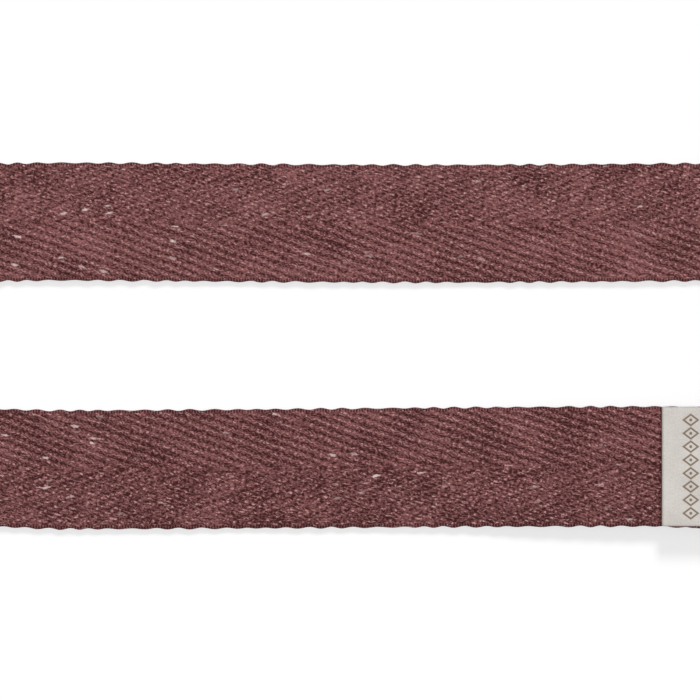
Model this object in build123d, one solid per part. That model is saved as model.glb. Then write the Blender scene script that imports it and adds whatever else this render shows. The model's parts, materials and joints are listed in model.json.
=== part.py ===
from build123d import *
import math
import os

# Stretching strap: one long webbing, laid out in a hairpin on a flat surface, with a pair of
# D-rings sewn into the end of its lower run and the free end rolled up on its rim.
# Everything is laid out with X along the runs, Y across them and Z up from the surface.
# At the end the whole part moves, so that its origin is the middle of its underside.

# ---- webbing ----
webbing_width = 38.0
webbing_thickness = 2.2
webbing_cut_length = 1885.0  # flat length of the cut piece, hem flap and ring tail included

# ---- lay-out of the runs ----
run_spacing = 78.8  # centre line of the lower run to centre line of the upper run
cross_leg_x = -137.0  # centre line of the short leg that joins the two runs
fold_inner_radius = 0.35  # inside radius of the two diagonal folds
roll_contact_x = 160.0  # where the upper run leaves the surface and starts the roll

# ---- roll at the free end ----
roll_turn_gap = 0.25
roll_core_radius = 10.0  # smallest inside radius of the innermost turn
hem_flap_length = 20.0
hem_inner_radius = 0.1
hem_row_margin = 5.0  # each row of stitches to the nearer end of the flap

# ---- label ----
label_front_x = 100.2
label_length = 18.0  # along the run
label_thickness = 0.7
label_overhang = 0.25  # past each edge of the webbing
label_end_gap = 0.1  # raw end of the tail to the inside of the label's fold
label_front_round = 0.6

# ---- ring end of the lower run ----
rise_start_x = 0.0  # the run lies on the surface up to here
rise_to_label = 3.2  # top of the rise to the label's front
seam_zone_lift = 2.6  # underside of the run above the surface, where it is sewn
label_to_loop = 0.8  # open end of the label to the start of the loop
throat_level = 2.0  # start of the loop to its throat, where the two layers part
throat_slope = 6.5  # throat to where the lower layer reaches the surface, along X
bar_run_in = 1.5  # from there to the side of the lower bar
bar_run_out = 2.0  # side of the upper bar to where the upper layer starts down
loop_clearance = 0.3  # bars to webbing
loop_bend_radius = 4.0

# ---- D-rings ----
ring_wire = 4.0
ring_side_clearance = 1.0  # inside of each leg to the edge of the webbing
ring_corner_radius = 3.0  # on the wire's centre line
ring_leg_end = 8.0  # bar's centre line to the start of the round bow
ring_gap = 0.2  # between the two bars

# ---- stitches ----
thread_radius = 0.35
stitch_pitch = 3.0
stitch_float = 2.4
stitch_edge_margin = 2.5
ring_seam_margin = 1.6  # open end of the label to the nearer row
ring_seam_spacing = 2.8
hem_bobbin_width = 0.6
hem_bobbin_clearance = 0.05  # the floats are pressed flat between two turns of the roll

# ---- worked out from the sizes above ----
lower_y = -run_spacing / 2
upper_y = run_spacing / 2
half_width = webbing_width / 2
half_thickness = webbing_thickness / 2
fold_arc = math.pi * (fold_inner_radius + half_thickness)
leg_underside = webbing_thickness + 2 * fold_inner_radius
fold_height = leg_underside + webbing_thickness
fold_inset = fold_arc / math.sqrt(2)
outer_corner = run_spacing / 2 + half_width
inner_corner = run_spacing / 2 - half_width
leg_left_x = cross_leg_x - half_width
leg_right_x = cross_leg_x + half_width

label_end_x = label_front_x + label_length
rise_end_x = label_front_x - rise_to_label
loop_start_x = label_end_x + label_to_loop
throat_x = loop_start_x + throat_level
loop_bottom_x = throat_x + throat_slope
ring_bar_x = loop_bottom_x + bar_run_in + ring_wire / 2
loop_top_x = ring_bar_x - ring_wire / 2 - bar_run_out

run_top_z = seam_zone_lift + webbing_thickness
tail_underside_z = run_top_z + label_thickness
tail_top_z = tail_underside_z + webbing_thickness
label_top_z = tail_top_z + label_thickness
tail_end_x = label_front_x + label_thickness + label_end_gap

loop_radius = ring_wire / 2 + loop_clearance + half_thickness  # neutral line round a bar
lower_bar_z = half_thickness + loop_radius
upper_bar_z = lower_bar_z + ring_wire + ring_gap
loop_top_z = upper_bar_z + loop_radius
loop_end_x = ring_bar_x + loop_radius
ring_half_width = half_width + ring_side_clearance + ring_wire / 2
ring_reach = ring_leg_end + ring_half_width
ring_tilt = math.degrees(math.asin((lower_bar_z - ring_wire / 2) / ring_reach))

roll_pitch = webbing_thickness + roll_turn_gap
hem_bobbin_thickness = roll_turn_gap - 2 * hem_bobbin_clearance
hem_row_distances = (hem_row_margin, hem_flap_length - hem_row_margin)
ring_seam_rows = (label_end_x - ring_seam_margin - ring_seam_spacing, label_end_x - ring_seam_margin)
hem_bend_arc = math.pi * (hem_inner_radius + half_thickness)


def lower_side(x, z):
    """A point of the lower run's side view."""
    return Vector(x, lower_y, z)


def strip(path):
    """Webbing carried along a path that stays in an upright plane along X."""
    start = Plane(origin=path @ 0, x_dir=(0, 1, 0), z_dir=path % 0)
    return sweep(start * Rectangle(webbing_width, webbing_thickness), path=path)


def plate(corners, underside):
    """A flat piece of webbing with the given plan."""
    outline = make_face(Polyline(*corners, close=True))
    return Pos(0, 0, underside) * extrude(outline, webbing_thickness)


def rise_path():
    """Two tangent arcs from the surface up to the seam zone, then level to the loop."""
    height = seam_zone_lift + half_thickness
    start = lower_side(rise_start_x, half_thickness)
    end = lower_side(rise_end_x, height)
    middle = (start + end) / 2
    lower_arc = TangentArc(start, middle, tangent=(1, 0, 0))
    upper_arc = TangentArc(middle, end, tangent=lower_arc % 1)
    level = Line(end, lower_side(loop_start_x, height))
    return Wire([lower_arc, upper_arc, level])


def loop_path():
    """From the end of the seam zone under both bars, round them and back over the tail."""
    low = seam_zone_lift + half_thickness
    tail = tail_underside_z + half_thickness
    corners = [
        lower_side(loop_start_x, low),
        lower_side(throat_x, low),
        lower_side(loop_bottom_x, half_thickness),
        lower_side(loop_end_x, half_thickness),
        lower_side(loop_end_x, loop_top_z),
        lower_side(loop_top_x, loop_top_z),
        lower_side(throat_x, tail),
        lower_side(tail_end_x, tail),
    ]
    bend = loop_bend_radius
    return FilletPolyline(*corners, radius=[bend, bend, loop_radius, loop_radius, bend, bend])


def lower_run():
    """Flat run from the lower fold, its slow rise and the level part under the tail."""
    corners = [
        (leg_left_x + fold_inset, lower_y + half_width),
        (leg_right_x + fold_inset, lower_y - half_width),
        (rise_start_x, lower_y - half_width),
        (rise_start_x, lower_y + half_width),
    ]
    return plate(corners, 0) + strip(rise_path())


def upper_run():
    """Flat run from the upper fold to the start of the roll."""
    corners = [
        (leg_left_x + fold_inset, upper_y - half_width),
        (leg_right_x + fold_inset, upper_y + half_width),
        (roll_contact_x, upper_y + half_width),
        (roll_contact_x, upper_y - half_width),
    ]
    return plate(corners, 0)


def cross_leg():
    """Short leg that lies across both runs, one layer up."""
    corners = [
        (leg_left_x, -inner_corner + fold_inset),
        (leg_right_x, -outer_corner + fold_inset),
        (leg_right_x, outer_corner - fold_inset),
        (leg_left_x, inner_corner - fold_inset),
    ]
    return plate(corners, leg_underside)


def lower_fold():
    """Half tube of webbing along the lower diagonal fold, its ends cut along the edges."""
    outer_radius = fold_inner_radius + webbing_thickness
    along = Vector(-1, 1, 0).normalized()
    outward = Vector(-1, -1, 0).normalized()
    corner = Vector(leg_right_x + fold_inset, lower_y - half_width, 0)
    length = webbing_width * math.sqrt(2)
    across = Plane(origin=corner, x_dir=outward, z_dir=along)
    wall = Circle(outer_radius) - Circle(fold_inner_radius)
    half = Pos(outer_radius, 0) * Rectangle(2 * outer_radius, 2 * outer_radius)
    tube = extrude(across * Pos(0, fold_height / 2) * (wall & half), length + fold_arc)
    front = Plane(origin=corner, x_dir=along, z_dir=-outward)
    top_corners = ((length + fold_arc, fold_height), (fold_arc, fold_height))
    cut = Polyline((0, 0), (length, 0), *top_corners, close=True)
    return tube & extrude(front * make_face(cut), -outer_radius)


def upper_fold():
    """The upper fold is the lower one mirrored across the middle of the lay-out."""
    return mirror(lower_fold(), about=Plane.XZ)


def ring_loop():
    """Webbing round both bars, with the tail that is sewn back on the run."""
    return strip(loop_path())


def webbing_used_before_roll():
    """Length of the neutral line from the raw end of the tail to the start of the roll.

    A diagonal fold's bend is as long as what it takes off the two flat pieces beside it.
    """
    lower_flat = rise_start_x - cross_leg_x
    upper_flat = roll_contact_x - cross_leg_x
    return loop_path().length + rise_path().length + lower_flat + run_spacing + upper_flat


def roll_length():
    """Webbing that is left for the roll, without the hem's fold and flap."""
    return webbing_cut_length - webbing_used_before_roll() - hem_bend_arc - hem_flap_length


def roll_half_turns():
    """Largest whole number of half turns that leaves the core open."""
    grow = roll_pitch / 4
    first = roll_core_radius + half_thickness - grow
    return int((math.sqrt(first**2 + 4 * grow * roll_length() / math.pi) - first) / (2 * grow))


def roll_radius():
    """Outside radius of the outermost half turn, so that the half turns add up in length."""
    turns = roll_half_turns()
    return roll_length() / (turns * math.pi) + (turns - 1) * roll_pitch / 4 + half_thickness


def roll_centre(turn):
    """Centre of a half turn: right halves turn about one height, left halves half a pitch up."""
    return Vector(roll_contact_x, roll_radius() + (turn % 2) * roll_pitch / 2)


def roll_point(turn, radius, angle):
    """Point of the roll's side view, at an angle from the X direction."""
    turned = math.radians(angle)
    return roll_centre(turn) + Vector(radius * math.cos(turned), radius * math.sin(turned))


def roll_arc(turn, inset):
    """Half circle of one half turn, a given depth inside the outer face."""
    radius = roll_radius() - turn * roll_pitch / 2 - inset
    start = 180 * turn - 90
    angles = (start, start + 90, start + 180)
    return ThreePointArc(*[roll_point(turn, radius, angle) for angle in angles])


def upright(face, y_middle, width):
    """A side view carried across the width of a run."""
    plane = Plane(origin=(0, y_middle + width / 2, 0), x_dir=(1, 0, 0), z_dir=(0, -1, 0))
    return extrude(plane * face, width)


def roll():
    """Spiral of half circles on two centres, with a small gap from turn to turn."""
    turns = range(roll_half_turns())
    outer = [roll_arc(turn, 0) for turn in turns]
    inner = [roll_arc(turn, webbing_thickness) for turn in turns]
    ends = [Line(outer[0] @ 0, inner[0] @ 0), Line(outer[-1] @ 1, inner[-1] @ 1)]
    return upright(make_face(outer + inner + ends), upper_y, webbing_width)


def hem_end():
    """Last half turn's number, its inside radius and the angle at which it ends."""
    last = roll_half_turns() - 1
    inside = roll_radius() - last * roll_pitch / 2 - webbing_thickness
    return last, inside, 180 * last + 90


def hem_flap_radii():
    """Outer and inner radius of the flap that lies on the innermost turn."""
    inside = hem_end()[1]
    outer = inside - 2 * hem_inner_radius
    return outer, outer - webbing_thickness


def hem_angle(distance):
    """Angle on the flap at a distance from the folded end."""
    outer, inner = hem_flap_radii()
    return hem_end()[2] - math.degrees(distance / ((outer + inner) / 2))


def hem():
    """Folded end of the webbing and the flap that is turned back inside the innermost turn."""
    last, inside, end = hem_end()
    outer, inner = hem_flap_radii()
    raw_end = hem_angle(hem_flap_length)
    middle = (end + raw_end) / 2
    along = Vector(-math.sin(math.radians(end)), math.cos(math.radians(end)))
    bend_centre = roll_point(last, inside - hem_inner_radius, end)
    outer_bend = bend_centre + along * (hem_inner_radius + webbing_thickness)
    inner_bend = bend_centre + along * hem_inner_radius
    outer_start = roll_point(last, inside + webbing_thickness, end)
    inner_start = roll_point(last, inside, end)
    flap_inner = [roll_point(last, inner, angle) for angle in (end, middle, raw_end)]
    flap_outer = [roll_point(last, outer, angle) for angle in (raw_end, middle, end)]
    edges = [
        ThreePointArc(outer_start, outer_bend, flap_inner[0]),
        ThreePointArc(*flap_inner),
        Line(flap_inner[2], flap_outer[0]),
        ThreePointArc(*flap_outer),
        ThreePointArc(flap_outer[2], inner_bend, inner_start),
        Line(inner_start, outer_start),
    ]
    return upright(make_face(edges), upper_y, webbing_width)


def label():
    """Tab folded round the raw end of the tail, open towards the rings."""
    height = label_top_z - run_top_z
    corner = (Align.MIN, Align.MIN)
    outside = Pos(label_front_x, run_top_z) * Rectangle(label_length, height, align=corner)
    front_corners = outside.vertices().sort_by(Axis.X)[:2]
    outside = fillet(front_corners, label_front_round)
    cavity = Rectangle(label_length - label_thickness, webbing_thickness, align=corner)
    cavity = Pos(label_front_x + label_thickness, tail_underside_z) * cavity
    return upright(outside - cavity, lower_y, webbing_width + 2 * label_overhang)


def ring_path():
    """Closed centre line of a D-ring, its bar along Y at the origin and its bow towards +X."""
    width = ring_half_width
    corner = ring_corner_radius
    middle = corner * (1 - math.sqrt(0.5))
    return Wire(
        [
            Line((0, corner - width), (0, width - corner)),
            ThreePointArc((0, width - corner), (middle, width - middle), (corner, width)),
            Line((corner, width), (ring_leg_end, width)),
            ThreePointArc((ring_leg_end, width), (ring_reach, 0), (ring_leg_end, -width)),
            Line((ring_leg_end, -width), (corner, -width)),
            ThreePointArc((corner, -width), (middle, middle - width), (0, corner - width)),
        ]
    )


def d_ring(bar_z):
    """One D-ring on its bar, tilted so that the bow of the lower ring lies on the surface."""
    path = ring_path()
    section = Plane(origin=path @ 0, z_dir=path % 0) * Circle(ring_wire / 2)
    ring = sweep(section, path=path)
    return Pos(ring_bar_x, lower_y, bar_z) * Rot(0, ring_tilt, 0) * ring


def stitch_places(y_middle):
    """Middles of the stitches in one row across the webbing."""
    count = int((webbing_width - 2 * stitch_edge_margin) / stitch_pitch)
    first = y_middle - (count - 1) * stitch_pitch / 2
    return [first + number * stitch_pitch for number in range(count)]


def stitch_row(seat, y_middle):
    """Row of half-round floats along Y, seated on a plane that faces away from the cloth."""
    upper_half = Pos(0, thread_radius) * Rectangle(2 * thread_radius, 2 * thread_radius)
    half_disc = Circle(thread_radius) & upper_half
    row = []
    for place in stitch_places(y_middle):
        start = Vector(seat.origin.X, place + stitch_float / 2, seat.origin.Z)
        plane = Plane(origin=start, x_dir=seat.x_dir, z_dir=(0, -1, 0))
        row.append(extrude(plane * half_disc, stitch_float))
    return row


def ring_seam_thread(seat_z, side):
    """Both rows of the ring seam on one face of the sewn stack: side 1 is up, -1 is down."""
    floats = []
    for row_x in ring_seam_rows:
        seat = Plane(origin=(row_x, 0, seat_z), x_dir=(side, 0, 0), z_dir=(0, 0, side))
        floats += stitch_row(seat, lower_y)
    return Compound(floats)


def hem_needle_thread():
    """Rows of floats on the hollow inner face of the hem's flap, resting on their edges."""
    last = hem_end()[0]
    seat_radius = math.sqrt(hem_flap_radii()[1] ** 2 - thread_radius**2)
    floats = []
    for distance in hem_row_distances:
        angle = hem_angle(distance)
        seat = roll_point(last, seat_radius, angle)
        cosine = math.cos(math.radians(angle))
        sine = math.sin(math.radians(angle))
        plane = Plane(origin=(seat.X, 0, seat.Y), x_dir=(-sine, 0, cosine), z_dir=(-cosine, 0, -sine))
        floats += stitch_row(plane, upper_y)
    return Compound(floats)


def hem_bobbin_thread():
    """Flat floats in the gap between the innermost turn and the one outside it."""
    last, inside, _ = hem_end()
    middle = inside + webbing_thickness + hem_bobbin_clearance + hem_bobbin_thickness / 2
    floats = []
    for distance in hem_row_distances:
        angle = hem_angle(distance)
        centre = roll_point(last, middle, angle)
        for place in stitch_places(upper_y):
            bar = Box(hem_bobbin_thickness, stitch_float, hem_bobbin_width)
            floats.append(Pos(centre.X, place, centre.Y) * Rot(0, -angle, 0) * bar)
    return Compound(floats)


def build_nodes():
    """Every sub-part by its name, in the lay-out's own place."""
    return {
        "webbing_lower_run": lower_run(),
        "webbing_ring_loop": ring_loop(),
        "webbing_lower_fold": lower_fold(),
        "webbing_cross_leg": cross_leg(),
        "webbing_upper_fold": upper_fold(),
        "webbing_upper_run": upper_run(),
        "webbing_roll": roll(),
        "webbing_hem": hem(),
        "label": label(),
        "lower_d_ring": d_ring(lower_bar_z),
        "upper_d_ring": d_ring(upper_bar_z),
        "ring_seam_needle_thread": ring_seam_thread(label_top_z, 1),
        "ring_seam_bobbin_thread": ring_seam_thread(seam_zone_lift, -1),
        "hem_needle_thread": hem_needle_thread(),
        "hem_bobbin_thread": hem_bobbin_thread(),
    }


def origin_shift(nodes):
    """Move that brings the middle of the part's underside to the origin."""
    box = Compound(list(nodes.values())).bounding_box()
    return Pos(-box.center().X, -box.center().Y, -box.min.Z)


os.makedirs("parts", exist_ok=True)
nodes = build_nodes()
shift = origin_shift(nodes)
for name, shape in nodes.items():
    export_step(shift * shape, f"parts/{name}.step")
print(f"moved by {shift.position}")
print(f"roll: {roll_half_turns()} half turns, outside radius {roll_radius():.2f}")
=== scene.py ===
"""Stretching strap of coarse twill webbing, laid out in a hairpin, with its rings, label and roll.

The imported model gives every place. Each sub-assembly is a dataclass with its own sizes, in metres,
and each finish is a small frozen one. The strap's own coordinates are s, the distance along it
from the raw end of the tail, v, the distance from its middle line to the left of the way it runs,
and n, the height over its neutral surface towards its face side.
"""
import json
import logging
import math
from dataclasses import dataclass
from enum import Enum

import bpy
import numpy as np
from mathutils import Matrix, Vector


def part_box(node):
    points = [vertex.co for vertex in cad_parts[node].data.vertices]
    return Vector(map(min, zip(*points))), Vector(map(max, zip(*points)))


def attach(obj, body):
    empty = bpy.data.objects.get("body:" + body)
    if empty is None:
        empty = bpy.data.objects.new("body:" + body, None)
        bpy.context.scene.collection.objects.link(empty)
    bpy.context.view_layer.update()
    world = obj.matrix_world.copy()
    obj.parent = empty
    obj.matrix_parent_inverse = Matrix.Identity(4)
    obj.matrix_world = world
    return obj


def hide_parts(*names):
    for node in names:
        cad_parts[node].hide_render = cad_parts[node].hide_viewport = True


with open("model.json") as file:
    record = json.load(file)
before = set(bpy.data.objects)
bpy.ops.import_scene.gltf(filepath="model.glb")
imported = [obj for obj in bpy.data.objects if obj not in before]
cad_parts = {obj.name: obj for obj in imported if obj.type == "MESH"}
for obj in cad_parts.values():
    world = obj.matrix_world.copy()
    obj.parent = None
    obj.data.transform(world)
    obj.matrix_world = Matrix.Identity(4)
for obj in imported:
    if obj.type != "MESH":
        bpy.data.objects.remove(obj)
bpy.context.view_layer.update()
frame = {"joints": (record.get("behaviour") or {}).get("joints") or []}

MM = 0.001
TURN = 2 * math.pi
Colour = tuple[float, float, float, float]
log = logging.getLogger("strap")


# ---------------------------------------------------------------- side views and grids


@dataclass(frozen=True)
class Stretch:
    """A stretch of a side view with one curvature.

    length is in metres, and turn is the change of heading over it in radians, left positive.
    """

    length: float
    turn: float = 0.0


class SidePath:
    """A line in an upright plane along X, made of straight and round stretches."""

    def __init__(self, start: tuple[float, float], heading: float, stretches: list[Stretch]) -> None:
        """Work out where each stretch starts.

        Args:
            start: X and Z of the first point.
            heading: direction of the first point, in radians from +X towards +Z.
            stretches: the stretches in order.
        """
        poses = [(0.0, start[0], start[1], heading)]
        for stretch in stretches:
            s, x, z, angle = poses[-1]
            chord = stretch.length * float(np.sinc(stretch.turn / 2 / math.pi))
            middle = angle + stretch.turn / 2
            end = (x + chord * math.cos(middle), z + chord * math.sin(middle))
            poses.append((s + stretch.length, end[0], end[1], angle + stretch.turn))
        self.poses = np.array(poses)
        self.bends = np.array([stretch.turn / stretch.length for stretch in stretches])
        self.length = float(poses[-1][0])

    def at(self, s: np.ndarray) -> tuple[np.ndarray, np.ndarray, np.ndarray]:
        """Place and heading at distances along the line.

        Each point lies at the end of a chord from its stretch's start: the chord of an arc is its
        length times the sine of half its turn over half its turn, and it heads half the turn on.

        Args:
            s: distances from the start, in metres.

        Returns:
            X, Z and the heading in radians, in the shape of s.
        """
        place = np.clip(np.searchsorted(self.poses[:, 0], s, side="right") - 1, 0, len(self.bends) - 1)
        start = self.poses[place]
        gone = s - start[..., 0]
        half_turn = self.bends[place] * gone / 2
        chord = gone * np.sinc(half_turn / math.pi)
        angle = start[..., 3] + half_turn
        x = start[..., 1] + chord * np.cos(angle)
        z = start[..., 2] + chord * np.sin(angle)
        return x, z, angle + half_turn


def rounded_stretches(corners: list[tuple[float, float]], radii: list[float]) -> list[Stretch]:
    """Straight runs between corners, each corner rounded by a tangent arc.

    Args:
        corners: X and Z of each corner, the two ends included.
        radii: one radius for each inner corner.

    Returns:
        The stretches from the first corner to the last.
    """
    runs = np.diff(np.array(corners), axis=0)
    lengths = np.hypot(runs[:, 0], runs[:, 1])
    turns = (np.diff(np.arctan2(runs[:, 1], runs[:, 0])) + math.pi) % TURN - math.pi
    cuts = np.concatenate([[0.0], np.array(radii) * np.tan(np.abs(turns) / 2), [0.0]])
    stretches = [Stretch(float(lengths[0] - cuts[1]))]
    for number, (radius, turn) in enumerate(zip(radii, turns), start=1):
        stretches.append(Stretch(radius * abs(float(turn)), float(turn)))
        stretches.append(Stretch(float(lengths[number] - cuts[number] - cuts[number + 1])))
    return stretches


def closed_tubes(
    name: str, points: np.ndarray, uv: np.ndarray | None = None, ring: bool = False
) -> bpy.types.Object:
    """Turn grids of closed cross-sections into one object of closed tubes.

    Neighbouring sections are joined by quads, and each end is closed by a fan about its middle.

    Args:
        name: the object's name.
        points: places, in the shape tubes, rows, columns, 3; the columns go round a section.
        uv: the strap's own coordinates of each point, in the shape tubes, rows, columns, 2.
        ring: the last row joins the first, and there are no ends.

    Returns:
        The linked object, its sides smooth and the rims of its ends sharp.
    """
    tubes, rows, columns = points.shape[:3]
    index = np.arange(tubes * rows * columns).reshape(tubes, rows, columns)
    here = index if ring else index[:, :-1]
    ahead = np.roll(index, -1, 1) if ring else index[:, 1:]
    quads = np.stack([here, np.roll(here, -1, 2), np.roll(ahead, -1, 2), ahead], axis=-1).reshape(-1, 4)
    faces = quads.tolist()
    vertices = points.reshape(-1, 3)
    rims = index[:, [0, -1]]
    if not ring:
        turned = np.roll(rims, -1, 2)
        middles = np.broadcast_to(index.size + np.arange(tubes * 2).reshape(tubes, 2, 1), rims.shape)
        second = np.stack([turned[:, 0], rims[:, 1]], axis=1)
        third = np.stack([rims[:, 0], turned[:, 1]], axis=1)
        faces += np.stack([middles, second, third], axis=-1).reshape(-1, 3).tolist()
        vertices = np.concatenate([vertices, points[:, [0, -1]].mean(axis=2).reshape(-1, 3)])
    mesh = bpy.data.meshes.new(name)
    mesh.from_pydata(vertices.tolist(), [], faces)
    mesh.polygons.foreach_set("use_smooth", np.arange(len(faces)) < len(quads))
    if uv is not None:
        flat_uv = np.concatenate([uv.reshape(-1, 2), uv[:, [0, -1]].mean(axis=2).reshape(-1, 2)])
        corners = np.zeros(len(mesh.loops), dtype=np.int32)
        mesh.loops.foreach_get("vertex_index", corners)
        layer = mesh.uv_layers.new(name="strap")
        layer.data.foreach_set("uv", flat_uv[corners].astype(np.float32).ravel())
    if not ring:
        sharpen(mesh, rims)
    mesh.update()
    piece = bpy.data.objects.new(name, mesh)
    bpy.context.scene.collection.objects.link(piece)
    return piece


def sharpen(mesh: bpy.types.Mesh, rims: np.ndarray) -> None:
    """Make the edges between these vertices sharp, so that an end doesn't shade the side beside it.

    Args:
        mesh: the mesh.
        rims: numbers of the vertices round its ends.
    """
    ends = np.zeros(len(mesh.vertices), dtype=bool)
    ends[rims] = True
    edge_vertices = np.zeros(len(mesh.edges) * 2, dtype=np.int32)
    mesh.edges.foreach_get("vertices", edge_vertices)
    attribute = mesh.attributes.new("sharp_edge", "BOOLEAN", "EDGE")
    attribute.data.foreach_set("value", ends[edge_vertices.reshape(-1, 2)].all(axis=1))


def declare(
    piece: bpy.types.Object, body: str, nodes: tuple[str, ...], look: bpy.types.Material
) -> None:
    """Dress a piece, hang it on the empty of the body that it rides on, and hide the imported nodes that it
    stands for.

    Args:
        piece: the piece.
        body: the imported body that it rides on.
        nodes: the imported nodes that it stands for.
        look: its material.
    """
    piece.data.materials.append(look)
    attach(piece, body)
    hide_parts(*nodes)
    log.info("%s: %d faces", piece.name, len(piece.data.polygons))


def smooth_step(value: np.ndarray) -> np.ndarray:
    """Ease from 0 to 1: three times the square less twice the cube, of the value held in 0 to 1."""
    held = np.clip(value, 0.0, 1.0)
    return held * held * (3 - 2 * held)


# ---------------------------------------------------------------- shader graphs


@dataclass(frozen=True)
class Signal:
    """A number that varies over a surface: a node's socket that takes part in plain arithmetic."""

    graph: "Graph"
    socket: bpy.types.NodeSocket

    def __add__(self, other: object) -> "Signal":
        """The sum."""
        return self.graph.math("ADD", self, other)

    def __sub__(self, other: object) -> "Signal":
        """The difference."""
        return self.graph.math("SUBTRACT", self, other)

    def __rsub__(self, other: object) -> "Signal":
        """The other less this."""
        return self.graph.math("SUBTRACT", other, self)

    def __mul__(self, other: object) -> "Signal":
        """The product."""
        return self.graph.math("MULTIPLY", self, other)

    def __pow__(self, power: float) -> "Signal":
        """A power."""
        return self.graph.math("POWER", self, power)

    def __abs__(self) -> "Signal":
        """The size without the sign."""
        return self.graph.math("ABSOLUTE", self)

    __radd__ = __add__
    __rmul__ = __mul__

    def ease(self, low: float, high: float) -> "Signal":
        """A smooth step from 0 at low to 1 at high."""
        return self.graph.mapped(self, (low, high, 0.0, 1.0), "SMOOTHSTEP")

    def slope(self, low: float, high: float) -> "Signal":
        """A straight rise from 0 at low to 1 at high, held there on both sides."""
        return self.graph.mapped(self, (low, high, 0.0, 1.0), "LINEAR")

    def spread(self, low: float, high: float) -> "Signal":
        """The range from 0 to 1 spread evenly over low to high."""
        return self.graph.mapped(self, (0.0, 1.0, low, high), "LINEAR")


Values = np.ndarray | Signal


def sine(angle: Values) -> Values:
    """The sine of numbers or of a signal."""
    return angle.graph.math("SINE", angle) if isinstance(angle, Signal) else np.sin(angle)


def cosine(angle: Values) -> Values:
    """The cosine of numbers or of a signal."""
    return angle.graph.math("COSINE", angle) if isinstance(angle, Signal) else np.cos(angle)


@dataclass(frozen=True)
class Graph:
    """A node tree that is built by plain calls."""

    tree: bpy.types.NodeTree

    def node(self, kind: str, inputs: dict | None = None, **settings: object) -> bpy.types.Node:
        """Add a node.

        Args:
            kind: the node's type name.
            inputs: what goes into its sockets, by socket name or number.
            settings: the node's own settings.

        Returns:
            The new node.
        """
        made = self.tree.nodes.new(kind)
        for name, value in settings.items():
            setattr(made, name, value)
        return self.fill(made, inputs or {})

    def fill(self, node: bpy.types.Node, inputs: dict) -> bpy.types.Node:
        """Feed several sockets of a node.

        Args:
            node: the node.
            inputs: what goes into its sockets, by socket name or number.

        Returns:
            The same node.
        """
        for key, value in inputs.items():
            self.feed(node.inputs[key], value)
        return node

    def feed(self, socket: bpy.types.NodeSocket, value: object) -> None:
        """Link a signal or another node's socket to this one, or set its value.

        Args:
            socket: the socket to feed.
            value: a signal, a socket, a number, a vector or a colour.
        """
        source = value.socket if isinstance(value, Signal) else value
        if isinstance(source, bpy.types.NodeSocket):
            self.tree.links.new(source, socket)
        else:
            socket.default_value = source

    def signal(self, node: bpy.types.Node, output: int | str = 0) -> Signal:
        """A node's output as a signal."""
        return Signal(self, node.outputs[output])

    def math(self, operation: str, *values: object) -> Signal:
        """A Math node's result, of numbers and signals in order."""
        return self.signal(self.node("ShaderNodeMath", dict(enumerate(values)), operation=operation))

    def mapped(self, value: Signal, ends: tuple[float, float, float, float], kind: str) -> Signal:
        """A Map Range node's result, from the first two ends to the last two."""
        inputs = {0: value, **dict(enumerate(ends, start=1))}
        return self.signal(self.node("ShaderNodeMapRange", inputs, interpolation_type=kind))

    def parts(self, vector: object) -> list[Signal]:
        """The three values of a vector or colour."""
        split = self.node("ShaderNodeSeparateXYZ", {0: vector})
        return [self.signal(split, axis) for axis in range(3)]

    def point(self, x: object, y: object, z: object = 0.0) -> bpy.types.NodeSocket:
        """Three values as a vector."""
        return self.node("ShaderNodeCombineXYZ", {0: x, 1: y, 2: z}).outputs[0]

    def noise(self, vector: object, scale: float = 1.0, detail: float = 2.0, output: str = "Fac") -> Signal:
        """Soft noise from 0 to 1 at a vector."""
        inputs = {"Vector": vector, "Scale": scale, "Detail": detail}
        return self.signal(self.node("ShaderNodeTexNoise", inputs), output)

    def between(self, factor: object, first: object, second: object) -> Signal:
        """A number between two numbers."""
        return self.signal(self.node("ShaderNodeMix", {0: factor, 2: first, 3: second}, data_type="FLOAT"))

    def blend(self, factor: object, first: object, second: object) -> bpy.types.NodeSocket:
        """A colour between two colours."""
        return self.node("ShaderNodeMix", {0: factor, 6: first, 7: second}, data_type="RGBA").outputs[2]

    def bump(self, height: object, distance: float, strength: float) -> bpy.types.NodeSocket:
        """A surface normal from a height that stands for a distance in metres."""
        inputs = {"Height": height, "Distance": distance, "Strength": strength}
        return self.node("ShaderNodeBump", inputs).outputs["Normal"]

    def place(self) -> bpy.types.NodeSocket:
        """The piece's own coordinates."""
        return self.node("ShaderNodeTexCoord").outputs["Object"]


def start_material(name: str) -> tuple[Graph, bpy.types.Node, bpy.types.Material]:
    """Start a material.

    Args:
        name: the material's name.

    Returns:
        Its graph, its Principled node and itself.
    """
    material = bpy.data.materials.new(name)
    material.use_nodes = True
    material.node_tree.nodes.clear()
    graph = Graph(material.node_tree)
    shader = graph.node("ShaderNodeBsdfPrincipled")
    graph.node("ShaderNodeOutputMaterial", {"Surface": shader.outputs[0]})
    return graph, shader, material


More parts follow.
